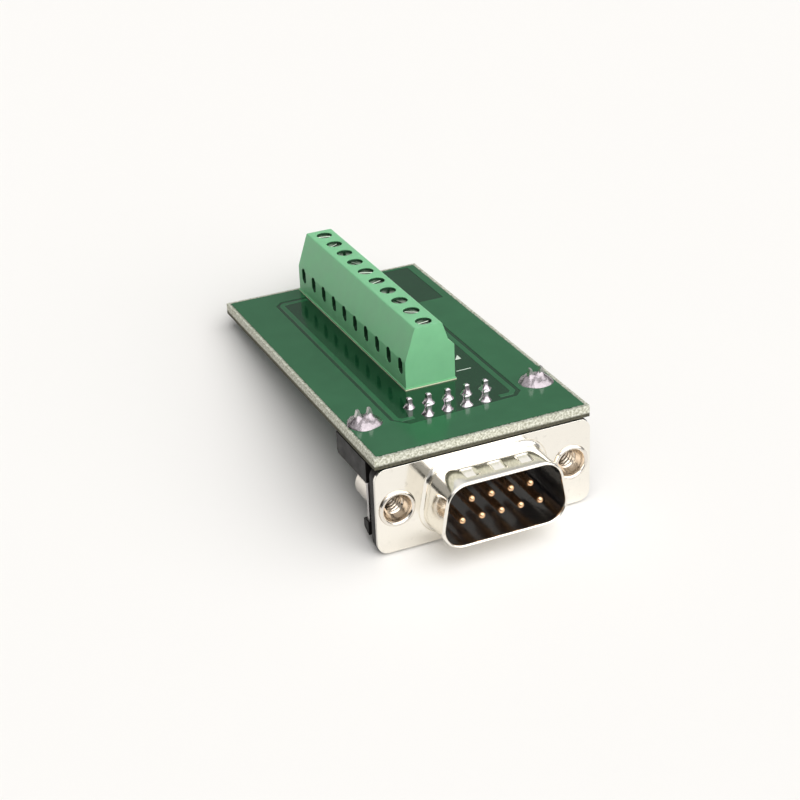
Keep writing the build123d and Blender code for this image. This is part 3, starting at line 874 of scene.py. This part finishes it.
@dataclass
class LockJoint:
    """Hand-soldered joint round a board lock: a lumpy dome drawn up both prongs."""
    palette: Palette
    hand: Hand
    radius: float = 2.5
    dome: float = 0.72
    tent: float = 0.95
    prong_x: float = 0.8
    rings: int = 30
    columns: int = 72

    def build(self) -> None:
        """Builds the dome as a height field over a disc.

        The rim wavers by three and five slow waves round the disc. The height is a flattened dome, plus a
        little tent round each prong that falls off as a power of the distance, plus a lump and soft waves.
        """
        piece = Piece(f"lock_joint_{self.hand.label}")
        side = self.hand.value
        angles = round_turn(self.columns)
        share = np.linspace(1, 0.02, self.rings)[:, None]
        rim = self.radius * (1 - 0.035 * (1 + np.sin(3 * angles + side)) - 0.02 * (1 + np.cos(5 * angles)))
        x = share * rim * np.cos(angles)
        y = share * rim * np.sin(angles)
        dome = self.dome * (1 - share ** 2.6) ** 0.75
        tents = sum(self.tent / (1 + ((x - s * self.prong_x) / 0.46) ** 2 + (y / 0.42) ** 2) ** 1.3
                    for s in (-1, 1))
        lump = 0.14 * np.exp(-((x + 1.2) ** 2 + (y - side * 0.9) ** 2) / 0.5)
        waves = 0.05 * np.sin(3.1 * x + side) * np.cos(2.7 * y) + 0.03 * np.sin(6.3 * x - 5.1 * y)
        height = dome + tents * smooth_step((1 - share) * 3) + (lump + waves) * (1 - share ** 4)
        piece.add_solid(points(side * JACK_X + x, LOCK_Y + y, BOARD_TOP + height))
        piece.finish(self.palette, "solder", (f"lock_solder_{self.hand.label}",), 60, look="frosted_solder")


@dataclass
class TailJoints:
    """Solder fillets that wet a row of tails: a broad foot that sweeps up to a thin neck.

    Attributes:
        palette: the finishes.
        name: the piece's name.
        replaces: the solid that it stands for.
        places: X and Y of each tail.
        side: the face of the board that they come out of.
        foot: radius of the foot.
        height: height of a fillet.
        neck: half widths of its neck along X and Y.
        tip: height of its round end over the tail, or 0 where the tail comes through.
        squareness: power that squares the neck; 2 would be an ellipse.
    """
    palette: Palette
    name: str
    replaces: str
    places: tuple[Pair, ...]
    side: Side
    foot: float
    height: float
    neck: Pair
    tip: float
    squareness: float = 4.0
    rings: int = 12
    columns: int = 32

    def build(self) -> None:
        """Builds every fillet.

        The radius at a share t of the height is the neck plus (foot - neck) times (1 - t) cubed; the foot
        wavers by three and five waves round, and each joint is turned and scaled a little differently. A half
        ellipsoid as high as the tip closes it over the tail's end.
        """
        piece = Piece(self.name)
        angles = round_turn(self.columns)
        share = np.linspace(0, 1, self.rings)[:, None]
        tip = np.cos(np.linspace(0, math.pi / 2, 7))[1:-1, None] if self.tip else np.zeros((0, 1))
        power = self.squareness
        neck = 1 / ((np.abs(np.cos(angles)) / self.neck[0]) ** power
                    + (np.abs(np.sin(angles)) / self.neck[1]) ** power) ** (1 / power)
        for number, (x, y) in enumerate(self.places):
            waver = 1 + 0.05 * np.sin(3 * angles + 1.7 * number) + 0.03 * np.cos(5 * angles + 2.3 * number)
            scale = 0.96 - 0.05 * math.sin(2.1 * number)
            radius = neck + (self.foot * scale * waver - neck) * (1 - share) ** 3
            height = self.height * (0.98 + 0.02 * math.cos(1.3 * number)) * share ** 0.9
            radius = np.vstack([radius, neck * tip])
            height = np.vstack([height, height[-1] + self.tip * np.sqrt(1 - tip ** 2)])
            piece.add_solid(points(x + radius * np.cos(angles), y + radius * np.sin(angles),
                                   self.side.height + self.side.value * height))
        piece.finish(self.palette, "solder", (self.replaces,), 60)


@dataclass
class ScrewHead:
    """Upper end of a clamp screw: two halves of a zinc-plated disc with the driver's slot between."""
    palette: Palette
    number: int
    radius: float = 1.02
    rise: float = 0.68
    slot: float = 0.36
    bevel: float = 0.06
    first_turn: float = 0.9
    next_turn: float = 2.4

    def build(self) -> None:
        """Builds the two halves, turned by the pole's number so that no two slots lie alike.

        A half's outline is an arc from the slot's edge round to the slot's edge; it rises straight to the
        bevel and is then drawn in evenly towards its middle.
        """
        piece = Piece(f"screw_head_{self.number:02d}")
        turn = self.first_turn + self.next_turn * self.number
        heights = np.array([0, self.rise - self.bevel, self.rise])[:, None]
        reach = math.asin(self.slot / 2 / self.radius)
        for half in (0, math.pi):
            angles = np.linspace(reach, math.pi - reach, 20) + half
            rim = self.radius * np.stack([np.cos(angles), np.sin(angles)], axis=1)
            middle = rim.mean(axis=0)
            drawn_in = middle + (rim - middle) * (1 - 2 * self.bevel / self.radius)
            x, y = np.moveaxis(np.array([rim, rim, drawn_in]), -1, 0)
            piece.add_solid(points(SCREW_X + x * math.cos(turn) - y * math.sin(turn),
                                   POLES[self.number - 1] + x * math.sin(turn) + y * math.cos(turn),
                                   SCREW_TOP + heights))
        piece.finish(self.palette, "zinc_steel", body=f"clamp_screw_{self.number:02d}")


@dataclass
class Relief:
    """Thin flat layer on a face of the board, of strips and filled outlines: copper under mask, or ink."""
    palette: Palette
    name: str
    finish: str
    side: Side
    thick: float

    def __post_init__(self) -> None:
        """Starts an empty layer between the bare face and its own surface."""
        self.piece = Piece(self.name)
        self.low = self.side.height
        self.high = self.low + self.side.value * self.thick

    def strip(self, line: tuple[Pair, ...], width: float) -> None:
        """Adds a strip with sloping sides, mitred at its bends.

        Args:
            line: the points along its middle.
            width: its width on the bare face.
        """
        path = np.array(line, dtype=float)
        along = np.diff(path, axis=0)
        along /= np.linalg.norm(along, axis=1)[:, None]
        normals = np.stack([-along[:, 1], along[:, 0]], axis=1)
        before = np.vstack([normals[:1], normals])
        after = np.vstack([normals, normals[-1:]])
        mitre = (before + after) / (1 + (before * after).sum(axis=1))[:, None]
        left, right = path + mitre * width / 2, path - mitre * width / 2
        slope = self.thick * 0.6
        ring = ((left, self.low), (left - mitre * slope, self.high), (right + mitre * slope, self.high),
                (right, self.low))
        rows = np.array([points(*edge.T, level) for edge, level in ring])
        self.piece.add_grid(rows.transpose(1, 0, 2))
        for end in (0, -1):
            self.piece.add(rows[:, end], np.array([[0, 1, 2, 3]]))

    def band(self, pairs: tuple[tuple[Pair, Pair], ...]) -> None:
        """Adds the flat band between two outlines.

        Args:
            pairs: an outer and an inner corner each, in turn round the band.
        """
        outer, inner = np.array(pairs).swapaxes(0, 1)
        ring = ((outer, self.low), (outer, self.high), (inner, self.high), (inner, self.low),
                (outer, self.low))
        self.piece.add_grid(np.array([points(*loop.T, level) for loop, level in ring]))

    def fill(self, base: np.ndarray) -> None:
        """Adds a filled convex outline with sloping sides.

        Args:
            base: its corners on the bare face in turn, n by 2.
        """
        inward = base.mean(axis=0) - base
        inner = base + inward / np.linalg.norm(inward, axis=1)[:, None] * self.thick
        self.piece.add_solid(np.array([points(*base.T, self.low), points(*inner.T, self.high)]))

    def build(self) -> None:
        """Makes the layer's object."""
        self.piece.finish(self.palette, "solder_mask", (), 20, look=self.finish)


@dataclass
class BoardArtwork:
    """Copper under the mask on both faces and the small legend marks."""
    palette: Palette

    # Outer and inner corners of the pour, in pairs round the board
    POUR = (((-14.8, 0.6), (-7.4, 6.4)), ((14.8, 0.6), (8.3, 6.9)), ((14.8, 4.0), (9.4, 8.0)),
            ((14.8, 40.3), (9.4, 40.3)), ((14.8, 41.2), (13.6, 40.3)), ((14.8, 53.5), (13.6, 53.0)),
            ((4.6, 53.5), (4.5, 53.0)), ((4.4, 53.5), (4.4, 50.3)), ((-8.0, 53.5), (-8.2, 50.3)),
            ((-14.8, 53.5), (-9.3, 49.2)), ((-14.8, 9.0), (-9.3, 8.5)))
    RINGS = (((-4.3, 49.4), (-8.0, 49.4), (-8.45, 48.9), (-8.45, 8.5), (-7.9, 7.9), (-6.2, 7.9)),
             ((6.2, 7.9), (7.9, 7.9), (8.5, 8.6), (8.5, 49.4), (3.8, 49.4)))
    RING_WIDTH = 0.75
    # The pin in half pitches from the middle and its track's lane, in the order of the poles they reach:
    # an outer lane always goes to a farther pole, so that no two tracks cross
    LANES = ((0, TERMINAL_X), (-1, -3.05), (1, 1.65), (-2, -4.0), (2, 2.6), (-3, -4.95), (3, 3.55),
             (-4, -5.9), (4, 4.5))
    TRACK_WIDTH = 0.5
    TRACK_START = 0.6
    SPREAD_Y = 12.2
    # A pointer, a line and a dot of white print
    POINTER = ((5.9, 20.5), (6.8, 20.5), (6.8, 21.8))
    LINE, LINE_WIDTH = ((4.5, 17.3), (6.7, 17.3)), 0.15
    DOT, DOT_RADIUS = (10.5, 30.7), 0.16

    def track(self, order: int, pin: int, lane: float) -> tuple[Pair, ...]:
        """Lays one track: back from its pin, slanting to its lane, along it, and in to its pole.

        Args:
            order: number of its pole.
            pin: its pin, in half pitches from the middle.
            lane: X of its lane.

        Returns:
            The points along it.
        """
        x, pole = pin * PIN_PITCH / 2, POLES[order]
        # the five pins of the rear row lie on whole pitches
        row, _ = TAIL_ROWS[1] if pin % 2 == 0 else TAIL_ROWS[0]
        line = [(x, row + self.TRACK_START), (x, self.SPREAD_Y), (lane, self.SPREAD_Y + abs(lane - x))]
        if lane == TERMINAL_X:
            return (*line, (lane, pole))
        inward = math.copysign(1, TERMINAL_X - lane)
        return (*line, (lane, pole - 1), (lane + inward, pole), (TERMINAL_X, pole))

    def build(self) -> None:
        """Builds the pour, the ring track, the tracks underneath and the marks."""
        pour = Relief(self.palette, "copper_pour_top", "masked_copper", Side.TOP, COPPER)
        pour.band(self.POUR)
        for ring in self.RINGS:
            pour.strip(ring, self.RING_WIDTH)
        pour.build()
        under = Relief(self.palette, "copper_tracks_under", "masked_copper", Side.UNDERSIDE, COPPER)
        for order, (pin, lane) in enumerate(self.LANES):
            under.strip(self.track(order, pin, lane), self.TRACK_WIDTH)
        under.build()
        marks = Relief(self.palette, "legend_marks", "ink", Side.TOP, INK)
        marks.fill(np.array(self.POINTER))
        marks.strip(self.LINE, self.LINE_WIDTH)
        marks.fill(circle(self.DOT_RADIUS, self.DOT, 20))
        marks.build()


@dataclass
class CarriedNodes:
    """Solids that stay as they are and only get their finishes and softened edges."""
    palette: Palette
    frame: dict

    # Rounding of the moulded pieces' edges in millimetres, and the least angle in degrees of those edges
    SOFT_EDGES = {"terminal_housing": 0.09, "mounting_bracket": 0.12}
    SOFT_ANGLE = 35

    def build(self) -> None:
        """Gives every solid its slot's finish, and softens the moulded pieces' edges."""
        for subpart in self.frame["record"]["subparts"]:
            node, slot = subpart["node"], subpart["material_slot"]
            piece = self.frame["nodes"][node]
            piece.data.materials.clear()
            piece.data.materials.append(self.palette[slot])
            if node in self.SOFT_EDGES:
                bevel = piece.modifiers.new("soft_edges", "BEVEL")
                bevel.width = self.SOFT_EDGES[node] * MM
                bevel.segments = 2
                bevel.limit_method = "ANGLE"
                bevel.angle_limit = math.radians(self.SOFT_ANGLE)
                bevel.use_clamp_overlap = True
                bevel.harden_normals = False
        log.info("dressed %d solids", len(self.frame["nodes"]))


@dataclass(frozen=True)
class Lamp:
    """Distant light: the way to it, its strength and how many degrees of the sky it fills."""
    name: str
    direction: tuple[float, float, float]
    strength: float
    spread: float


@dataclass
class Studio:
    """Pale floor, soft light from the upper right front, and the photograph's camera.

    Attributes:
        floor_colour: the paper's colour.
        floor_radius: how far the floor reaches.
        tip: how far the floor tips up behind, in degrees, under the part as it rests on it.
        floor_offset: where the floor lies from the origin, along its normal.
        turn: how far the camera stands round to the left, in degrees; rise and roll are its other angles.
        distance: how far it is from its target, the point that it looks at.
        lens: its focal length.
        lamps: the key light and a weaker one from the front.
        ambient: level of the surroundings as light.
        left_sky: their level low down at the left, as gloss mirrors it; right_sky and high_sky go with it.
        sky_x: the direction's X between which left turns to right.
        sky_z: its Z between which low turns to high.
    """
    floor_colour: str = "#f3f1ee"
    floor_radius: float = 4000
    tip: float = 11.42
    floor_offset: float = -6.463
    turn: float = 23.4338
    rise: float = 27.1294
    roll: float = -2.4232
    distance: float = 254.0197
    target: tuple[float, float, float] = (-2.811, 20.0, 3.9645)
    lens: float = 84.03
    lamps: tuple[Lamp, ...] = (Lamp("key", (0.309, -0.568, 0.765), 3.12, 100),
                               Lamp("fill", (-0.1, -0.8, 0.59), 0.5, 90))
    ambient: float = 0.13
    left_sky: float = 0.06
    right_sky: float = 0.3
    high_sky: float = 1.0
    sky_x: Pair = (-0.3, 0.25)
    sky_z: Pair = (0.46, 0.66)

    def build(self) -> None:
        """Builds the floor, the lights, the surroundings and the camera."""
        self.build_floor()
        self.build_lights()
        self.build_world()
        self.build_camera()
        log.info("studio ready")

    def build_floor(self) -> None:
        """Lays a wide floor that touches the bracket's foot and the rear terminal tails."""
        tip = math.radians(self.tip)
        normal = np.array([0, -math.sin(tip), math.cos(tip)])
        along = np.array([0, math.cos(tip), math.sin(tip)])
        disc = circle(self.floor_radius, (0, 0), 96)
        rim = normal * self.floor_offset + disc[:, :1] * np.array([1, 0, 0]) + disc[:, 1:] * along
        mesh = bpy.data.meshes.new("floor")
        mesh.from_pydata((rim * MM).tolist(), [], [list(range(len(rim)))])
        # dull white paper with hardly a shade in it
        paper = Finish("matt_paper_floor", self.floor_colour, 0.9, mottle_mm=40, mottle=0.004,
                       grain_mm=1.0, grain_height=0.003, sheen=0.0)
        mesh.materials.append(paper.build())
        floor = bpy.data.objects.new("floor", mesh)
        bpy.context.scene.collection.objects.link(floor)

    def build_lights(self) -> None:
        """Hangs the lamps."""
        for lamp in self.lamps:
            light = bpy.data.lights.new(lamp.name, "SUN")
            light.energy = lamp.strength
            light.angle = math.radians(lamp.spread)
            holder = bpy.data.objects.new(lamp.name, light)
            holder.rotation_euler = Vector(lamp.direction).to_track_quat("Z", "Y").to_euler()
            bpy.context.scene.collection.objects.link(holder)

    def build_world(self) -> None:
        """Sets the surroundings: white to the camera, and a plain level as light.

        In reflections they are bright overhead and dim low down, darkest to the left, so that metal has
        contrast.
        """
        world = bpy.data.worlds.new("studio")
        world.use_nodes = True
        tree = world.node_tree
        rays = add_node(tree, "ShaderNodeLightPath")
        direction = add_node(tree, "ShaderNodeTexCoord")["Generated"]
        way = add_node(tree, "ShaderNodeSeparateXYZ", inputs={0: direction})
        low = add_node(tree, RANGE, inputs={
            "Value": way["X"], "From Min": self.sky_x[0], "From Max": self.sky_x[1],
            "To Min": self.left_sky, "To Max": self.right_sky})["Result"]
        mirrored = add_node(tree, RANGE, inputs={
            "Value": way["Z"], "From Min": self.sky_z[0], "From Max": self.sky_z[1],
            "To Min": low, "To Max": self.high_sky})["Result"]
        light = add_node(tree, MIX, NUMBERS, {
            0: rays["Is Glossy Ray"], 2: self.ambient, 3: mirrored})[0]
        seen = add_node(tree, MATH, {"operation": "MAXIMUM"}, {
            0: rays["Is Camera Ray"], 1: rays["Is Transmission Ray"]})[0]
        level = add_node(tree, MIX, NUMBERS, {0: seen, 2: light, 3: 1.0})[0]
        background = tree.nodes["Background"]
        background.inputs["Color"].default_value = (1, 1, 1, 1)
        tree.links.new(level, background.inputs["Strength"])
        bpy.context.scene.world = world

    def build_camera(self) -> None:
        """Places the camera solved from the photograph."""
        turn, rise, roll = (math.radians(a) for a in (self.turn, self.rise, self.roll))
        back = Vector((-math.sin(turn) * math.cos(rise), -math.cos(turn) * math.cos(rise), math.sin(rise)))
        right = Vector((math.cos(turn), -math.sin(turn), 0))
        up = back.cross(right)
        level_right = right * math.cos(roll) + up * math.sin(roll)
        level_up = up * math.cos(roll) - right * math.sin(roll)
        camera = bpy.data.cameras.new("camera")
        camera.sensor_width = 36
        camera.lens = self.lens
        camera.clip_start = 0.01
        camera.clip_end = 20
        holder = bpy.data.objects.new("camera", camera)
        place = (Vector(self.target) + back * self.distance) * MM
        axes = Matrix((level_right, level_up, back)).transposed()
        holder.matrix_world = Matrix.Translation(place) @ axes.to_4x4()
        bpy.context.scene.collection.objects.link(holder)
        bpy.context.scene.camera = holder


def main() -> None:
    """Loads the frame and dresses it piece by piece."""
    logging.basicConfig(level=logging.INFO, format="%(name)s: %(message)s")
    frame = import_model()
    palette = Palette()
    pin_tails = tuple(((n - (count - 1) / 2) * PIN_PITCH, row) for row, count in TAIL_ROWS
                      for n in range(count))
    terminal_tails = tuple((TERMINAL_X, pole) for pole in POLES)
    parts = [
        CarriedNodes(palette, frame),
        PlugShell(palette),
        PinNoses(palette),
        *[JackInsert(palette, hand) for hand in Hand],
        *[LockJoint(palette, hand) for hand in Hand],
        TailJoints(palette, "pin_fillets", "pin_solder_joints", pin_tails, Side.TOP,
                   foot=0.85, height=1.27, neck=(0.34, 0.34), tip=0.24),
        TailJoints(palette, "terminal_fillets", "terminal_solder_joints", terminal_tails, Side.UNDERSIDE,
                   foot=1.15, height=1.18, neck=(0.27, 0.49), tip=0),
        *[ScrewHead(palette, number) for number in range(1, len(POLES) + 1)],
        BoardArtwork(palette),
        Studio(),
    ]
    for part in parts:
        part.build()
    bpy.context.scene.view_settings.view_transform = "Standard"


if __name__ == "__main__":
    main()
